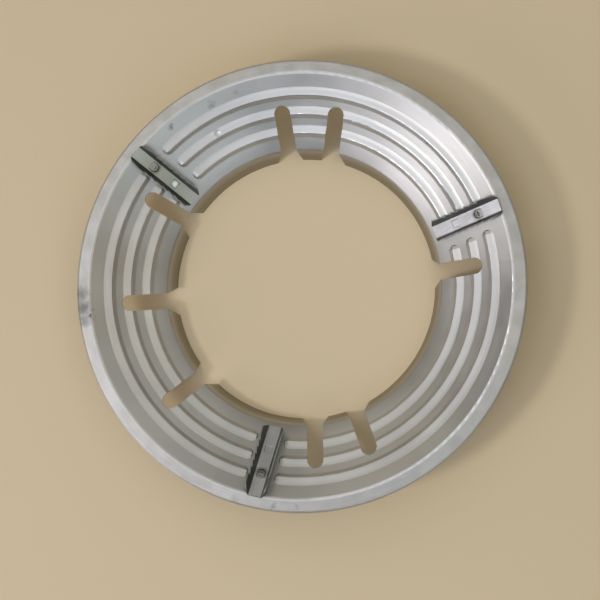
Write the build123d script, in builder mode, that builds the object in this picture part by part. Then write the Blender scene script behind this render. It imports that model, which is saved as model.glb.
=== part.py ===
from build123d import *
import math
import os

# Wok ring: a pressed dish of thin sheet with raised ribs and open slots, carrying three toothed
# channel brackets. Millimetres and degrees. The origin lies on the ring's axis, on the table
# plane under the lip; +Z points up and one slot of each slot pattern is centred on +X.
os.makedirs("parts", exist_ok=True)

# Dish section on the sheet's upper face, from the edge inwards: rim, crease, cone, fold, lip
sheet = 0.8
rim_diameter = 240.0
edge_width = 1.1
edge_fall = 42.0
rim_width = 7.3
rim_fall = 10.5
crease_height = 34.5
cone_width = 37.4
cone_slope = 33.0
lip_width = 3.2
edge_bend = 1.4
crease_bend = 2.4
fold_bend = 2.6

# Ribs, raised from the cone: steep towards the axis, then a tread that eases down outwards
rib_count = 3
first_rib_from_fold = 8.8
last_rib_from_crease = 10.4
rib_height = 1.4
rib_inner_run = 2.3
rib_outer_run = 3.7
rib_crest_bend = 1.2
rib_inner_bend = 2.6
rib_outer_bend = 9.0
rib_tuck = 0.12
rib_end_length = 2.4
rib_end_steps = (0, 45, 78)
hollow_end_steps = (0, 66)

# Slots, open to the middle, with the lip's corners cut back at each mouth
slot_width = 8.7
slot_end_from_crease = 15.0
slot_counts = (4, 5)
mouth_cut = 3.6
least_tab = 10.0

# Brackets, one length of folded sheet each, fixed by hand a little off their even places
bracket_count = 3
first_bracket_angle = 14.6
bracket_shifts = (0.55, 0.5, -0.9)
bracket_skews = (-2.2, -0.7, -0.7)
bracket_sheet = 0.6
bracket_from_fold = 2.4
bracket_past_crease = 0.73
bracket_width = 7.6
bracket_height = 6.2
bracket_flare = 20.7
bracket_bend = 1.1
seat_gap = 0.08
pad_before = 8.7
pad_after = 5.6

# Teeth along the bracket's upper edges, from its inner end to a plain block at its outer end
tooth_count = 6
tooth_depth = 1.7
first_tooth = 8.4
block_length = 9.6
end_slant = 4.2
shoulder_length = 6.2

# Half-round button, pressed up from the dish through the web, and the square press mark
button_place = 28.5
button_width = 4.6
button_length = 5.0
button_gap = 0.35
button_proud = 0.25
button_slit = 0.8
mark_place = 14.4
mark_size = 4.2
mark_depth = 0.25

# Values that follow from the sizes above
slope = math.radians(cone_slope)
rim_radius = rim_diameter / 2
crease_radius = rim_radius - rim_width
fold_radius = crease_radius - cone_width
lip_radius = fold_radius - lip_width
fold_height = crease_height - cone_width * math.tan(slope)
turn_radius = rim_radius - edge_width
turn_height = crease_height - (turn_radius - crease_radius) * math.tan(math.radians(rim_fall))
rim_height = turn_height - edge_width * math.tan(math.radians(edge_fall))
first_rib_radius = fold_radius + first_rib_from_fold
rib_pitch = (cone_width - first_rib_from_fold - last_rib_from_crease) / (rib_count - 1)
slot_end_radius = crease_radius - slot_end_from_crease
bracket_start_radius = fold_radius + bracket_from_fold
bracket_length = (cone_width - bracket_from_fold + bracket_past_crease) / math.cos(slope)
tooth_pitch = (bracket_length - first_tooth - block_length) / tooth_count
embed = sheet / 2
below = 2 * sheet


def on_cone(radius, run=0.0, rise=0.0):
    """Radius and height of a point that is run along the cone's slope and rise above its face."""
    height = crease_height - (crease_radius - radius) * math.tan(slope)
    across = radius + run * math.cos(slope) - rise * math.sin(slope)
    return across, height + run * math.sin(slope) + rise * math.cos(slope)


def radial_plane(angle):
    """Upright plane through the axis: x runs outwards at the given angle, y runs up."""
    turn = math.radians(angle)
    outwards = (math.cos(turn), math.sin(turn), 0)
    sideways = (math.sin(turn), -math.cos(turn), 0)
    return Plane(origin=(0, 0, 0), x_dir=outwards, z_dir=sideways)


def across_plane(angle):
    """Upright plane square to a radius: x runs sideways, y up, z outwards at the given angle."""
    turn = math.radians(angle)
    outwards = (math.cos(turn), math.sin(turn), 0)
    sideways = (-math.sin(turn), math.cos(turn), 0)
    return Plane(origin=(0, 0, 0), x_dir=sideways, z_dir=outwards)


def rib_section(radius, angle, size, drop):
    """Face of one rib's section, shrunk about the middle of its foot and dropped by drop.
    A rib's corners are rounded, and those of the hollow dropped below it are left sharp.
    Both sides tuck a little under the sheet's face, so that each meets it along a clear line."""
    middle = (rib_outer_run - rib_inner_run) / 2
    inner_foot = middle + (-rib_inner_run - middle) * size
    outer_foot = middle + (rib_outer_run - middle) * size
    crest = middle - middle * size
    lead = rib_inner_bend * size / 2
    tail = rib_outer_bend * size / 4
    tuck = rib_tuck * size
    top = [
        on_cone(radius, inner_foot - lead, -drop - tuck),
        on_cone(radius, inner_foot, -drop),
        on_cone(radius, crest, rib_height * size - drop),
        on_cone(radius, outer_foot, -drop),
        on_cone(radius, outer_foot + tail, -drop - tuck),
    ]
    bends = [rib_inner_bend * size, rib_crest_bend * size, rib_outer_bend * size]
    with BuildSketch(radial_plane(angle)) as section:
        with BuildLine():
            if drop:
                Polyline(*top)
            else:
                FilletPolyline(*top, radius=bends)
            Polyline(
                top[-1],
                on_cone(radius, outer_foot + tail, -drop - embed),
                on_cone(radius, inner_foot - lead, -drop - embed),
                top[0],
            )
        make_face()
    return section.sketch


def rib(number, drop, end_steps):
    """One rib from one bracket to the next, with ends that round down to the cone."""
    radius = first_rib_radius + number * rib_pitch
    cap = math.degrees(rib_end_length / radius)
    next_bracket = first_bracket_angle + 360 / bracket_count
    start = first_bracket_angle + math.degrees(math.asin(pad_after / radius)) + cap
    end = next_bracket - math.degrees(math.asin(pad_before / radius)) - cap
    with BuildPart() as body:
        add(rib_section(radius, start, 1.0, drop))
        revolve(axis=Axis.Z, revolution_arc=end - start)
        for place, way in ((start, -1), (end, 1)):
            steps = [math.radians(step) for step in end_steps]
            sections = [
                rib_section(radius, place + way * cap * math.sin(t), math.cos(t), drop) for t in steps
            ]
            loft(sections=[s.face() for s in sections], ruled=True)
    return body.part


def half_round(plane, width, length):
    """Sketch on plane, centred on its origin: round towards -x, square towards +x."""
    radius = width / 2
    start = -length / 2
    with BuildSketch(plane) as outline:
        with Locations((start + radius, 0)):
            Circle(radius)
        with Locations(((start + radius + length / 2) / 2, 0)):
            Rectangle(length / 2 - start - radius, width)
    return outline.sketch


def bracket_plane(number, along=0.0, rise=0.0):
    """Plane parallel to the cone under a bracket: x outwards along it, z off the face."""
    turn = math.radians(first_bracket_angle + 360 / bracket_count * number + bracket_shifts[number])
    across, height = on_cone(bracket_start_radius, bracket_length / 2)
    middle = Plane(
        origin=(across * math.cos(turn), across * math.sin(turn), height),
        x_dir=(math.cos(turn) * math.cos(slope), math.sin(turn) * math.cos(slope), math.sin(slope)),
        z_dir=(-math.cos(turn) * math.sin(slope), -math.sin(turn) * math.sin(slope), math.cos(slope)),
    )
    skew = Rotation(0, 0, bracket_skews[number])
    return Plane(middle.location * skew * Location((along - bracket_length / 2, 0, rise)))


def corner_cut(slot, other):
    """How far the lip's corner beside a slot is cut back, given the next slot on that side."""
    apart = math.radians(abs(other - slot))
    tab = lip_radius * apart - slot_width
    return max(0, min(mouth_cut, (tab - least_tab) / 2))


slot_angles = sorted({360 / count * k for count in slot_counts for k in range(count)})

# The ribs of one third, and the hollows that the press leaves behind them
ribs_above = [rib(number, 0, rib_end_steps) for number in range(rib_count)]
hollows_below = [rib(number, sheet, hollow_end_steps) for number in range(rib_count)]

# The dish, revolved as one sheet, then pressed, cut at the lip, ribbed and slotted
lip_run = lip_width / fold_height
button_back = button_gap + bracket_sheet
with BuildPart() as dish:
    with BuildSketch(Plane.XZ):
        with BuildLine():
            FilletPolyline(
                (lip_radius - lip_run * below, -below),
                (fold_radius, fold_height),
                (crease_radius, crease_height),
                (turn_radius, turn_height),
                (rim_radius, rim_height),
                radius=[fold_bend, crease_bend, edge_bend],
            )
            offset(amount=sheet, side=Side.RIGHT)
        make_face()
    revolve(axis=Axis.Z)
    split(bisect_by=Plane.XY, keep=Keep.TOP)

    # Half-round buttons that locate the brackets, hollow behind and slit right across
    for number in range(bracket_count):
        foot = bracket_plane(number, button_place, -embed)
        add(half_round(foot, button_width - 2 * button_gap, button_length - 2 * button_gap))
    extrude(amount=embed + seat_gap + bracket_sheet + button_proud)
    for number in range(bracket_count):
        back = bracket_plane(number, button_place, -below)
        add(half_round(back, button_width - 2 * button_back, button_length - 2 * button_back))
    extrude(amount=below + seat_gap + button_proud, mode=Mode.SUBTRACT)
    for number in range(bracket_count):
        with BuildSketch(bracket_plane(number, button_place + button_slit, -below)):
            Rectangle(button_slit, button_width - 2 * button_back)
    extrude(amount=2 * below + bracket_sheet, mode=Mode.SUBTRACT)

    # The lip's corners, cut back on both sides of each slot mouth, less on a narrow tab
    for k, angle in enumerate(slot_angles):
        before = slot_angles[k - 1] - (0 if k else 360)
        after = slot_angles[(k + 1) % len(slot_angles)] + (360 if angle == slot_angles[-1] else 0)
        low_side = slot_width / 2 + corner_cut(angle, before)
        high_side = slot_width / 2 + corner_cut(angle, after)
        with BuildSketch(across_plane(angle)):
            Polygon(
                (-slot_width / 2, fold_height),
                (slot_width / 2, fold_height),
                (high_side, 0),
                (high_side, -below),
                (-low_side, -below),
                (-low_side, 0),
                align=None,
            )
    extrude(amount=fold_radius + below, mode=Mode.SUBTRACT)

    # Ribs on the upper face and their hollows in the lower one, one circle of them at a time
    for ridge in ribs_above:
        with PolarLocations(0, bracket_count):
            add(ridge)
    for hollow in hollows_below:
        with PolarLocations(0, bracket_count):
            add(hollow, mode=Mode.SUBTRACT)

    # Slots, straight down through the cone and the lip
    with BuildSketch(Plane.XY):
        for count in slot_counts:
            with PolarLocations(slot_end_radius / 2, count):
                SlotOverall(slot_end_radius, slot_width)
    extrude(amount=crease_height, mode=Mode.SUBTRACT)

dish.part.label = "dish_ring"
export_step(dish.part, "parts/dish_ring.step")


def tooth_line(foot, top):
    """Points along a flange's upper edge, from the inner end's foot to the start of the shoulder."""
    points = [(0, foot), (end_slant, top)]
    for number in range(tooth_count + 1):
        place = first_tooth + number * tooth_pitch
        depth = tooth_depth if number else tooth_depth / 3
        points += [(place, top - depth), (place, top)]
    points.append((bracket_length - shoulder_length, top))
    return points


# The brackets, folded channels with toothed edges, seated on the pads between the ribs
flare_run = bracket_height * math.tan(math.radians(bracket_flare))
half_web = bracket_width / 2
over = 2 * bracket_height
for number in range(bracket_count):
    seat = bracket_plane(number, 0, seat_gap)
    with BuildPart() as bracket:
        with BuildSketch(Plane(origin=seat.origin, x_dir=seat.y_dir, z_dir=seat.x_dir)):
            with BuildLine():
                FilletPolyline(
                    (-half_web - flare_run, bracket_height),
                    (-half_web, 0),
                    (half_web, 0),
                    (half_web + flare_run, bracket_height),
                    radius=bracket_bend,
                )
                offset(amount=bracket_sheet, side=Side.LEFT)
            make_face()
        extrude(amount=bracket_length)

        # Teeth: steep towards the axis, with a slanted inner end and a round outer shoulder
        with BuildSketch(Plane(origin=seat.origin, x_dir=seat.x_dir, z_dir=-seat.y_dir)):
            with BuildLine():
                teeth = Polyline(*tooth_line(bracket_sheet, bracket_height - bracket_sheet / 2))
                shoulder = TangentArc(teeth @ 1, (bracket_length, bracket_sheet), tangent=(1, 0))
                Polyline(
                    shoulder @ 1,
                    (bracket_length + over, bracket_sheet),
                    (bracket_length + over, over),
                    (-over, over),
                    (-over, bracket_sheet),
                    teeth @ 0,
                )
            make_face()
        extrude(amount=bracket_width + flare_run, both=True, mode=Mode.SUBTRACT)

        # Half-round hole for the button, and the shallow square press mark
        add(half_round(bracket_plane(number, button_place, 0), button_width, button_length))
        extrude(amount=seat_gap + 2 * bracket_sheet, mode=Mode.SUBTRACT)
        with BuildSketch(bracket_plane(number, mark_place, seat_gap + bracket_sheet)):
            Rectangle(mark_size, mark_size)
        extrude(amount=-mark_depth, taper=45, mode=Mode.SUBTRACT)
    bracket.part.label = f"grip_bracket_{number + 1}"
    export_step(bracket.part, f"parts/grip_bracket_{number + 1}.step")
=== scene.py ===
# %% [markdown]
# The object is a wok ring: a dish pressed from thin stainless sheet, with three small toothed
# brackets folded from the same metal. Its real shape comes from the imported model, which stays
# where it is. This lesson adds what a shape can't hold: the finish of the metal, its wear, the
# light, and a camera that stands where the photograph was taken from.

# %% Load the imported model
import math

import bpy
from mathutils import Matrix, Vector

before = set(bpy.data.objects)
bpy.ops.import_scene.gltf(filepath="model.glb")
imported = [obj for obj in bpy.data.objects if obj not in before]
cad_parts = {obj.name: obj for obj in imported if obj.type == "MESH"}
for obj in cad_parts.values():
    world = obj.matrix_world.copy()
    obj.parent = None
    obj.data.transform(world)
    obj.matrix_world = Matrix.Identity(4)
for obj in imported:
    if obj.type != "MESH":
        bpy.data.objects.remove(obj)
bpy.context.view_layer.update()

MM = 0.001
print("nodes:", sorted(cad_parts))

# %% [markdown]
# Colours are picked as a designer picks them, as sRGB hex, but the renderer adds light in linear
# values. One function does the change, and every colour in the file goes through it.


# %% Turn a hex colour to linear
def colour(hex_code):
    """Linear RGBA of an sRGB hex colour."""
    parts = [int(hex_code[i:i + 2], 16) / 255 for i in (1, 3, 5)]
    linear = [p / 12.92 if p <= 0.04045 else ((p + 0.055) / 1.055) ** 2.4 for p in parts]
    return (*linear, 1.0)


print("mid grey:", [round(v, 3) for v in colour("#808080")])

# %% [markdown]
# A material is a graph, and building one by hand takes many lines. This helper adds one node with
# its settings and its links in one call, so that each pattern below reads as one short paragraph.


# %% Add a node with its settings and links
def add_node(tree, kind, inputs=None, **settings):
    """A node of the given kind. inputs maps a socket's name or number to a value or a socket."""
    node = tree.nodes.new(kind)
    for name, value in settings.items():
        setattr(node, name, value)
    for key, value in (inputs or {}).items():
        if isinstance(value, bpy.types.NodeSocket):
            tree.links.new(value, node.inputs[key])
        else:
            node.inputs[key].default_value = value
    return node


# %% [markdown]
# The photograph was taken from above, about 0.6 m up and tilted 9 degrees, a little to the right
# of the ring. The rim, the crease, the three rib crests, the fold and the lip are all circles
# about one axis, so their ellipses in the picture give the camera's place. A 66 mm lens on a
# 36 mm sensor gives the same mild perspective.

# %% Put the camera where the photograph was taken
camera_data = bpy.data.cameras.new("camera")
camera_data.sensor_width = 36.0
camera_data.lens = 66.0
camera = bpy.data.objects.new("camera", camera_data)
camera.location = Vector((79.1, -55.1, 604.3)) * MM
camera.rotation_euler = [math.radians(turn) for turn in (3.81, 8.15, -5.5)]
bpy.context.collection.objects.link(camera)
bpy.context.scene.camera = camera
print("camera height in mm:", round(camera.location.z / MM, 1))

# %% [markdown]
# The floor is plain and pale, and warm in tone, because the satin metal mirrors it: the lip and the
# steep sides of the ribs take their colour from below. It is one large square with a soft diffuse
# finish.

# %% Lay the floor
FLOOR_SIZE = 6.0
floor_mesh = bpy.data.meshes.new("floor")
half = FLOOR_SIZE / 2
corners = [(-half, -half, 0), (half, -half, 0), (half, half, 0), (-half, half, 0)]
floor_mesh.from_pydata(corners, [], [(0, 1, 2, 3)])
floor = bpy.data.objects.new("floor", floor_mesh)
bpy.context.collection.objects.link(floor)

floor_paint = bpy.data.materials.new("pale_plain_floor")
floor_paint.use_nodes = True
floor_shader = floor_paint.node_tree.nodes["Principled BSDF"]
floor_shader.inputs["Base Color"].default_value = colour("#E3CFAD")
floor_shader.inputs["Roughness"].default_value = 0.6
floor_shader.inputs["Specular IOR Level"].default_value = 0.2
floor_mesh.materials.append(floor_paint)
print("floor:", FLOOR_SIZE, "m square")

# %% [markdown]
# Two shadows in the photograph tell where its key light stood. The rim throws a faint crisp arc on
# the floor at the right, and the lip throws a narrow band inside the ring at the left. Both fit one
# lamp from the left, 49 degrees up. The lamp gives about a fifth of the light, and the rest is a
# room full of soft panels: satin metal mirrors all of it, so a single lamp would leave most of the
# ring black. The strengths come from one test picture per panel, added up until the sum matched
# the photograph, and were then trimmed. Each panel aims at the ring, because an area light
# shines along its own -Z.


# %% Hang the light panels
def hang_panel(name, azimuth, elevation, size, power, tint, distance=2.0):
    """A square light panel that stands at a compass direction and looks at the ring."""
    a, e = math.radians(azimuth), math.radians(elevation)
    way = Vector((math.cos(a) * math.cos(e), math.sin(a) * math.cos(e), math.sin(e)))
    data = bpy.data.lights.new(name, "AREA")
    data.shape = "SQUARE"
    data.size = size
    data.energy = power
    data.color = colour(tint)[:3]
    panel = bpy.data.objects.new(name, data)
    panel.location = way * distance
    panel.rotation_euler = way.to_track_quat("Z", "Y").to_euler()
    bpy.context.collection.objects.link(panel)
    return panel


# name, azimuth and elevation in degrees, side in metres, watts, tint
PANELS = [
    ("key_lamp", 200, 49, 0.3, 8.1, "#FFFCF6"),
    ("front_ceiling", 240, 66, 1.1, 5.3, "#DFEBFF"),
    ("low_window", 210, 24, 0.7, 5.2, "#F0EEFF"),
    ("right_ceiling", 0, 66, 1.1, 3.3, "#FFECC4"),
    ("front_wall", 300, 42, 1.1, 4.3, "#E7F7FF"),
    ("left_wall", 120, 42, 1.1, 3.3, "#FFF8E3"),
    ("left_ceiling", 180, 66, 1.1, 3.1, "#EEF1FF"),
    ("back_wall", 60, 42, 1.1, 1.8, "#FFFAF1"),
    ("far_left_ceiling", 120, 66, 1.1, 0.5, "#F9FFF8"),
    ("back_ceiling", 60, 66, 1.1, 1.5, "#F1FFFD"),
    ("right_wall", 30, 42, 1.1, 0.9, "#F6FFFE"),
]
for row in PANELS:
    hang_panel(*row)
print("panels:", len(PANELS), "total watts:", round(sum(row[4] for row in PANELS), 1))

# %% [markdown]
# The room itself adds a weak even light, so that no side of the metal mirrors pure black. The
# Standard view transform shows each colour as it was picked.

# %% Dim the room
ROOM_STRENGTH = 0.1
room = bpy.data.worlds.new("room")
room.use_nodes = True
room.node_tree.nodes["Background"].inputs["Color"].default_value = colour("#FFFDF7")
room.node_tree.nodes["Background"].inputs["Strength"].default_value = ROOM_STRENGTH
bpy.context.scene.world = room
bpy.context.scene.view_settings.view_transform = "Standard"
print("room strength:", ROOM_STRENGTH)

# %% [markdown]
# The dish is 304 stainless sheet, 0.8 mm thick, with the mill's satin finish. The press draws the
# sheet over the die and the ring turns under a brush, so the finest lines run round the axis.
# To the eye that gives a soft broad highlight, faint rings, and slow clouds where the oxide film
# and handling differ. The lines are drawn on polar coordinates worked out from the object's own
# X and Y, so that they follow the ring without any unwrapping.


# %% Work out polar coordinates in a material
def polar(tree):
    """Sockets for position, distance from the axis in metres, and direction from the axis."""
    place = add_node(tree, "ShaderNodeTexCoord").outputs["Object"]
    flat = add_node(tree, "ShaderNodeVectorMath", {0: place, 1: (1, 1, 0)}, operation="MULTIPLY")
    radius = add_node(tree, "ShaderNodeVectorMath", {0: flat.outputs[0]}, operation="LENGTH")
    way = add_node(tree, "ShaderNodeVectorMath", {0: flat.outputs[0]}, operation="NORMALIZE")
    return place, radius.outputs["Value"], way.outputs[0]


# %% Lines brushed round the axis
LINE_SPACING = 0.9 * MM     # real lines are near 0.1 mm; drawn coarser so that they show
LINE_LENGTH = 14 * MM
MEAN_RADIUS = 90 * MM       # of the cone, where the length is true


def ring_lines(tree, spacing, length, detail=3.0):
    """A noise stretched round the ring: fine across the radius and long around it."""
    place, radius, way = polar(tree)
    around = add_node(tree, "ShaderNodeVectorMath", {0: way, "Scale": MEAN_RADIUS / length},
                      operation="SCALE")
    height = add_node(tree, "ShaderNodeSeparateXYZ", {0: place}).outputs["Z"]
    reach = add_node(tree, "ShaderNodeMath", {0: radius, 1: height}, operation="ADD")
    across = add_node(tree, "ShaderNodeMath", {0: reach.outputs[0], 1: 1 / spacing},
                      operation="MULTIPLY")
    spot = add_node(tree, "ShaderNodeCombineXYZ", {"Z": across.outputs[0]})
    where = add_node(tree, "ShaderNodeVectorMath", {0: around.outputs[0], 1: spot.outputs[0]},
                     operation="ADD")
    noise = add_node(tree, "ShaderNodeTexNoise",
                     {"Vector": where.outputs[0], "Scale": 1.0, "Detail": detail})
    return noise.outputs["Fac"]


print("brushed lines in mm:", round(LINE_SPACING / MM, 2), "apart,", round(LINE_LENGTH / MM), "long")

# %% Slow clouds of handling and oxide
def clouds(tree, size, detail=2.0, shift=(0, 0, 0)):
    """Soft patches of about the given size in metres."""
    place = add_node(tree, "ShaderNodeTexCoord").outputs["Object"]
    moved = add_node(tree, "ShaderNodeMapping", {"Vector": place, "Location": shift})
    noise = add_node(tree, "ShaderNodeTexNoise",
                     {"Vector": moved.outputs[0], "Scale": 1 / size, "Detail": detail})
    return noise.outputs["Fac"]


def spread(tree, value, low, high, to_low, to_high):
    """Maps a value from one range to another, held at both ends."""
    node = add_node(tree, "ShaderNodeMapRange",
                    {"Value": value, 1: low, 2: high, 3: to_low, 4: to_high})
    return node.outputs[0]


def blend_colours(tree, amount, first, second):
    """Mixes two colours, or a colour and a socket, by an amount from 0 to 1."""
    node = add_node(tree, "ShaderNodeMix", {0: amount, 6: first, 7: second}, data_type="RGBA")
    return node.outputs[2]


# %% [markdown]
# The dish is a cone, and its brackets lie on it, so one sum answers two questions for every point
# of the part: how far it stands off the cone, and whether its surface lies along the cone or stands
# up from it. The first tells a bracket's web from its teeth. The second tells a flange from a web.

# %% Find how a point lies on the dish's cone
CONE_SLOPE = math.radians(33)
RIM_RADIUS = 120 * MM
CREASE_RADIUS = 112.7 * MM
CREASE_HEIGHT = 34.5 * MM


def on_cone(tree):
    """Sockets: height off the cone's face in metres, and 1 where the surface lies along the cone."""
    place, radius, way = polar(tree)
    lean, lift = math.sin(CONE_SLOPE), math.cos(CONE_SLOPE)
    height = add_node(tree, "ShaderNodeSeparateXYZ", {0: place}).outputs["Z"]
    lifted = add_node(tree, "ShaderNodeMath",
                      {0: height, 1: lift, 2: CREASE_RADIUS * lean - CREASE_HEIGHT * lift},
                      operation="MULTIPLY_ADD")
    rise = add_node(tree, "ShaderNodeMath", {0: radius, 1: -lean, 2: lifted.outputs[0]},
                    operation="MULTIPLY_ADD")
    inwards = add_node(tree, "ShaderNodeVectorMath", {0: way, "Scale": -lean}, operation="SCALE")
    upright = add_node(tree, "ShaderNodeVectorMath", {0: inwards.outputs[0], 1: (0, 0, lift)},
                       operation="ADD")
    normal = add_node(tree, "ShaderNodeTexCoord").outputs["Normal"]
    along = add_node(tree, "ShaderNodeVectorMath", {0: normal, 1: upright.outputs[0]},
                     operation="DOT_PRODUCT")
    return rise.outputs[0], along.outputs["Value"]


print("cone slope in degrees:", round(math.degrees(CONE_SLOPE)))


# %% [markdown]
# Painted shade darkens the colour where little light reaches: in the gap round each button, along
# the foot of a bracket and at the roots of its teeth. Ambient occlusion finds such places by itself,
# because it measures how much of the near space is filled.


# %% Find where painted shade darkens the gaps
GAP_SHADE_REACH = 1.4 * MM
GAP_SHADE_OPENNESS = (0.7, 0.3)      # painted shade begins at the first and is full at the second
GAP_SHADE_MOST = 0.85
GAP_SHADE_TONE = "#2E2C28"


def painted_gap_shade(tree):
    """Painted shade, from 0 on open faces to its most in narrow gaps."""
    openness = add_node(tree, "ShaderNodeAmbientOcclusion", {"Distance": GAP_SHADE_REACH}, samples=8)
    return spread(tree, openness.outputs["AO"], *GAP_SHADE_OPENNESS, 0.0, GAP_SHADE_MOST)


# how far the painted gap shade reaches, in mm
print("dirt looks this far in mm:", round(GAP_SHADE_REACH / MM, 2))


# %% [markdown]
# Years of use left marks at places of their own: a grey smudge on the rim at the left with two dark
# specks beside it, small stains on the rim at the front, and a few on the cone at the back. Painted
# shade darkens the places round the three buttons, standing in for their dark gaps, and the web of
# one bracket, which has a bright rubbed spot in it. All are listed with their place on the part, so
# each one sits where the photograph has it.

# %% List the marks
# place in mm, radius in mm, depth from 0 to 1
STAINS = [
    ((-117.2, 6.0, 33.6), 6.0, 0.55),
    ((-116.9, -1.0, 33.8), 6.5, 0.66),
    ((-116.0, -7.6, 33.9), 5.5, 0.50),
    ((-112.0, -2.2, 34.1), 1.7, 0.90),
    ((-112.2, -4.9, 34.3), 1.5, 0.85),
    ((-22.4, -115.0, 33.7), 2.3, 0.50),
    ((-10.3, -115.7, 33.9), 1.7, 0.35),
    ((-43.0, -110.1, 33.5), 3.0, 0.25),
    ((-60.2, 91.9, 32.6), 1.9, 0.60),
    ((-37.0, 101.2, 31.3), 2.8, 0.35),
    ((-22.4, 106.3, 31.8), 1.7, 0.30),
    ((75.5, 65.8, 27.8), 1.5, 0.60),
]
# The rest have full depth: place in mm, radius in mm
# Painted shade over the web of the bracket at the back left, toning down the light it mirrors
PAINTED_WEB_SHADE = [((-67.6, 67.4, 23.0), 45.0)]
# Painted shade round the three buttons for their dark gaps, and the one square mark rubbed bright
PAINTED_BUTTON_SHADE = [((97.7, 26.2, 28.0), 3.9), ((-71.6, 71.4, 28.0), 3.9), ((-28.5, -97.0, 28.0), 3.9)]
SHINE = [((-63.4, 63.1, 20.1), 2.2)]
# Two small dents, which the bump map presses in
DENTS = [((-36.4, 87.3, 24.1), 1.8), ((75.5, 65.8, 27.8), 1.6)]
print("marks:", len(STAINS), "stains,", len(DENTS), "dents")

# %% Turn a list of marks into a mask
MARK_CORE = 0.2     # the share of a mark's radius that has its full depth


def spots(tree, marks, ragged_mm=1.2):
    """The deepest of the marks at each point, ragged at the edge. Depth is 1 where none is given."""
    place = add_node(tree, "ShaderNodeTexCoord").outputs["Object"]
    ragged = ragged_mm * MM
    push = spread(tree, clouds(tree, 2.5 * MM, detail=4.0), 0.3, 0.7, -ragged, ragged)
    deepest = None
    for centre, radius, *depth in marks:
        middle = tuple(v * MM for v in centre)
        away = add_node(tree, "ShaderNodeVectorMath", {0: place, 1: middle}, operation="DISTANCE")
        edge = add_node(tree, "ShaderNodeMath", {0: away.outputs["Value"], 1: push}, operation="ADD")
        outer, full = radius * MM, depth[0] if depth else 1.0
        mark = spread(tree, edge.outputs[0], outer, MARK_CORE * outer, 0.0, full)
        if deepest is not None:
            both = add_node(tree, "ShaderNodeMath", {0: deepest, 1: mark}, operation="MAXIMUM")
            mark = both.outputs[0]
        deepest = mark
    return deepest


# %% [markdown]
# The dish's colour adds these up, broad to fine: slow clouds, a rim rubbed by hands and darkened at
# the front as painted shade that tones down the lamp's highlight there, a smooth worn edge made
# lighter as a painted highlight, a lip darkened towards the bottom as painted shade, then stains,
# painted shade round the buttons and painted shade in gaps. Each layer is laid over the ones before
# it by a mask that knows where it belongs.

# %% Say where the rim, its edge and the lip are
SHADED_RIM_SIDE = (-0.09, -1.0, 0.0)      # direction from the axis to the front of the rim, which painted shade darkens
EDGE_BAND = (RIM_RADIUS - 1.3 * MM, RIM_RADIUS - 0.8 * MM)
# heights between which painted shade darkens the lip, full below the second
LIP_SHADE_BAND = (14 * MM, 5 * MM)
NOISE_RANGE = (0.35, 0.65)          # a noise hardly leaves this range


def rim_masks(tree):
    """Sockets: 1 on the rim, and 1 on the rim's turned-down edge."""
    place, radius, way = polar(tree)
    rim = spread(tree, radius, CREASE_RADIUS, CREASE_RADIUS + 1 * MM, 0.0, 1.0)
    return rim, spread(tree, radius, *EDGE_BAND, 0.0, 1.0)


# %% Colour of the dish
def satin_tone(tree):
    """Layers of colour from the bare sheet to the painted shade in its corners."""
    place, radius, way = polar(tree)
    rim, edge = rim_masks(tree)
    height = add_node(tree, "ShaderNodeSeparateXYZ", {0: place}).outputs["Z"]
    slow = spread(tree, clouds(tree, 30 * MM), *NOISE_RANGE, 0, 1)
    patches = spread(tree, clouds(tree, 9 * MM, shift=(0.3, 0.1, 0)), 0.38, 0.62, 0, 1)
    toward_shaded_side = add_node(tree, "ShaderNodeVectorMath", {0: way, 1: SHADED_RIM_SIDE}, operation="DOT_PRODUCT")

    rubbed = blend_colours(tree, patches, colour("#D8D6D3"), colour("#E3E1DF"))
    # painted shade: the rim darkens towards its front, toning down the lamp's highlight there
    rim_painted_shade = spread(tree, toward_shaded_side.outputs["Value"], 0.2, 0.9, 0.0, 0.45)
    rubbed = blend_colours(tree, rim_painted_shade, rubbed, colour("#B7B5B1"))
    tone = blend_colours(tree, slow, colour("#C9C7C4"), colour("#D4D2CF"))
    tone = blend_colours(tree, rim, tone, rubbed)
    # painted highlight: the turned-down edge is made lighter
    tone = blend_colours(tree, edge, tone, colour("#E2E1DE"))
    # painted shade: the lip darkens towards the bottom, standing in for the shaded floor it mirrors
    tone = blend_colours(tree, spread(tree, height, *LIP_SHADE_BAND, 0.0, 1.0), tone, colour("#A39D92"))
    tone = blend_colours(tree, spots(tree, STAINS), tone, colour("#5E5D58"))
    # painted shade round the buttons, standing in for their dark gaps
    tone = blend_colours(tree, spots(tree, PAINTED_BUTTON_SHADE, ragged_mm=0.3), tone, colour("#85837D"))
    # painted shade in gaps and corners, found by ambient occlusion
    return blend_colours(tree, painted_gap_shade(tree), tone, colour(GAP_SHADE_TONE))


# %% [markdown]
# Roughness says how wide the metal smears what it mirrors. The rim is rougher than the cone, which
# spreads the lamp's mirror image there into a soft pale band. The ribs' crests are smoother, because
# the wok turns on them and polishes them, and their steep sides are rougher, because nothing rubs
# them. Each of these is a small step added to the sheet's own roughness.

# %% Roughness of the dish
SATIN_ROUGHNESS = (0.42, 0.48)
LINE_STEP = 0.04
RIM_STEP = 0.24
CREST_STEP = -0.08
FLANK_STEP = 0.28


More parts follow.
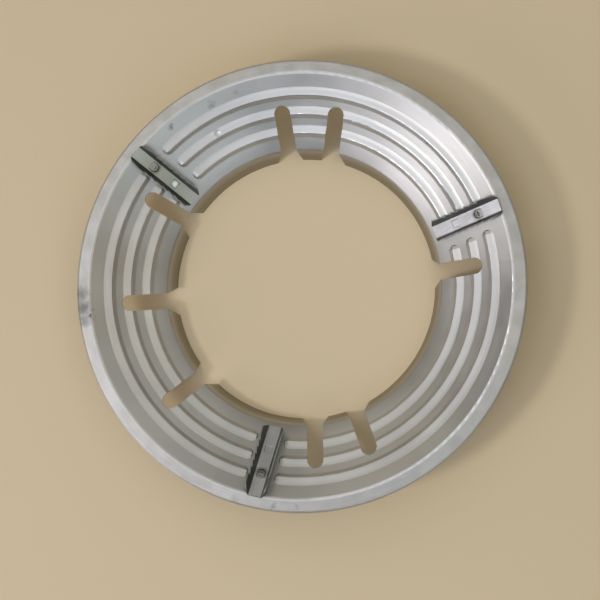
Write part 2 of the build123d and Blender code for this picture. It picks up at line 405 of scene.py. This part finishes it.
def satin_roughness(tree, lines):
    """The sheet's roughness with its lines, its rubbed rim, polished crests and rough flanks."""
    rim, edge = rim_masks(tree)
    rise, along = on_cone(tree)
    inner_rim = spread(tree, edge, 0, 1, RIM_STEP, 0)
    raised = spread(tree, rise, 0.1 * MM, 0.3 * MM, 0.0, 1.0)
    steep = spread(tree, along, 0.94, 0.88, 0.0, FLANK_STEP)
    steps = [
        spread(tree, lines, 0.3, 0.7, -LINE_STEP, LINE_STEP),
        spread(tree, rise, 0.4 * MM, 1 * MM, 0.0, CREST_STEP),
        add_node(tree, "ShaderNodeMath", {0: raised, 1: steep}, operation="MULTIPLY").outputs[0],
        add_node(tree, "ShaderNodeMath", {0: rim, 1: inner_rim}, operation="MULTIPLY").outputs[0],
    ]
    gloss = spread(tree, clouds(tree, 30 * MM), *NOISE_RANGE, *SATIN_ROUGHNESS)
    for step in steps:
        gloss = add_node(tree, "ShaderNodeMath", {0: gloss, 1: step}, operation="ADD").outputs[0]
    return gloss


# %% Satin stainless sheet of the dish
def satin_sheet(name):
    """304 stainless sheet, satin, brushed round the axis, with handling marks, painted shade and a
    painted highlight.
    """
    material = bpy.data.materials.new(name)
    material.use_nodes = True
    tree = material.node_tree
    shader = tree.nodes["Principled BSDF"]
    shader.inputs["Metallic"].default_value = 1.0
    lines = ring_lines(tree, LINE_SPACING, LINE_LENGTH)
    tree.links.new(satin_tone(tree), shader.inputs["Base Color"])
    tree.links.new(satin_roughness(tree, lines), shader.inputs["Roughness"])

    fine = clouds(tree, 1.2 * MM, detail=3.0)
    grain = add_node(tree, "ShaderNodeMath", {0: lines, 1: fine}, operation="ADD")
    brushed = add_node(tree, "ShaderNodeBump",
                       {"Strength": 0.12, "Distance": 0.05 * MM, "Height": grain.outputs[0]})
    dented = add_node(tree, "ShaderNodeBump",
                      {"Strength": 0.6, "Distance": 0.6 * MM,
                       "Height": spots(tree, DENTS, ragged_mm=0.4), "Normal": brushed.outputs[0]},
                      invert=True)
    tree.links.new(dented.outputs[0], shader.inputs["Normal"])
    return material


dish_finish = satin_sheet("satin_stainless_sheet")
print("dish finish:", len(dish_finish.node_tree.nodes), "nodes")

# %% [markdown]
# The brackets are folded from rolled strip. The flat web keeps the mill's shine and its straight
# grain, which runs along the bracket. Its colour is made lighter than the dish's, as painted light
# that stands in for the light the flanges throw onto it, so it is as bright as the dish under it,
# apart from the one darkened by painted shade. The flanges went through the toothed die and the
# fold:
# they are dull, their colour is darkened as painted shade, and their sheared teeth are rough.


# %% Colour of the brackets
def strip_tone(tree, high, stands_up, grain):
    """A web lightened as painted light, with painted shade and shine, then cut edges, and painted
    shade on flanges and in gaps.
    """
    slow = spread(tree, clouds(tree, 8 * MM, detail=3.0), *NOISE_RANGE, 0, 1)
    # painted light: the web is lighter than the dish, standing in for light the flanges throw onto
    # it
    web = blend_colours(tree, slow, colour("#D9D9DB"), colour("#E6E5E8"))
    web = blend_colours(tree, spread(tree, grain, 0.45, 0.7, 0.0, 0.5), web, colour("#B4B4B6"))
    # painted shade over the web of the bracket at the back left
    web = blend_colours(tree, spots(tree, PAINTED_WEB_SHADE), web, colour("#B2B0A0"))
    web = blend_colours(tree, spots(tree, SHINE, ragged_mm=0.6), web, colour("#FBFBFA"))
    # painted shade round the buttons, standing in for their dark gaps
    web = blend_colours(tree, spots(tree, PAINTED_BUTTON_SHADE, ragged_mm=0.3), web, colour("#33322E"))
    # painted shade: the flanges, which stand up from the cone, are darker than the web
    flange = blend_colours(tree, slow, colour("#6E706B"), colour("#868783"))
    tone = blend_colours(tree, high, web, colour("#8C8C88"))
    tone = blend_colours(tree, stands_up, tone, flange)
    # painted shade in gaps and corners, found by ambient occlusion
    return blend_colours(tree, painted_gap_shade(tree), tone, colour(GAP_SHADE_TONE))


# %% Rolled strip of the brackets
STRIP_ROUGHNESS = (0.37, 0.43)
CUT_STEP = 0.1
GRAIN_WIDTH = 0.3 * MM      # real grain is near 0.05 mm; drawn coarser so that it shows
GRAIN_LENGTH = 9 * MM


def rolled_strip(name):
    """Rolled stainless strip: a flat web lightened as painted light, dull flanges darkened as
    painted shade, rough sheared edges.
    """
    material = bpy.data.materials.new(name)
    material.use_nodes = True
    tree = material.node_tree
    shader = tree.nodes["Principled BSDF"]
    shader.inputs["Metallic"].default_value = 1.0
    rise, along = on_cone(tree)
    stands_up = spread(tree, along, 0.85, 0.6, 0.0, 1.0)
    high = spread(tree, rise, 1.0 * MM, 1.8 * MM, 0.0, 1.0)
    # Long across the radius and short around it, so these lines run outwards, along the strip
    grain = ring_lines(tree, GRAIN_LENGTH, GRAIN_WIDTH)
    tree.links.new(strip_tone(tree, high, stands_up, grain), shader.inputs["Base Color"])

    gloss = spread(tree, clouds(tree, 8 * MM, detail=3.0), 0.3, 0.7, *STRIP_ROUGHNESS)
    for mask in (high, stands_up):
        gloss = add_node(tree, "ShaderNodeMath", {0: mask, 1: CUT_STEP, 2: gloss},
                         operation="MULTIPLY_ADD").outputs[0]
    tree.links.new(gloss, shader.inputs["Roughness"])
    bump = add_node(tree, "ShaderNodeBump",
                    {"Strength": 0.15, "Distance": 0.03 * MM, "Height": grain})
    tree.links.new(bump.outputs[0], shader.inputs["Normal"])
    return material


bracket_finish = rolled_strip("rolled_stainless_strip")
print("bracket finish:", len(bracket_finish.node_tree.nodes), "nodes")

# %% [markdown]
# The imported nodes keep their own meshes and places. Only the material in each slot changes, so the
# shape stays the one in the imported model.

# %% Give each node its finish
for name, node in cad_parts.items():
    finish = dish_finish if name == "dish_ring" else bracket_finish
    for slot in node.material_slots:
        slot.material = finish
    print(name, "->", finish.name, len(node.data.polygons), "facets")
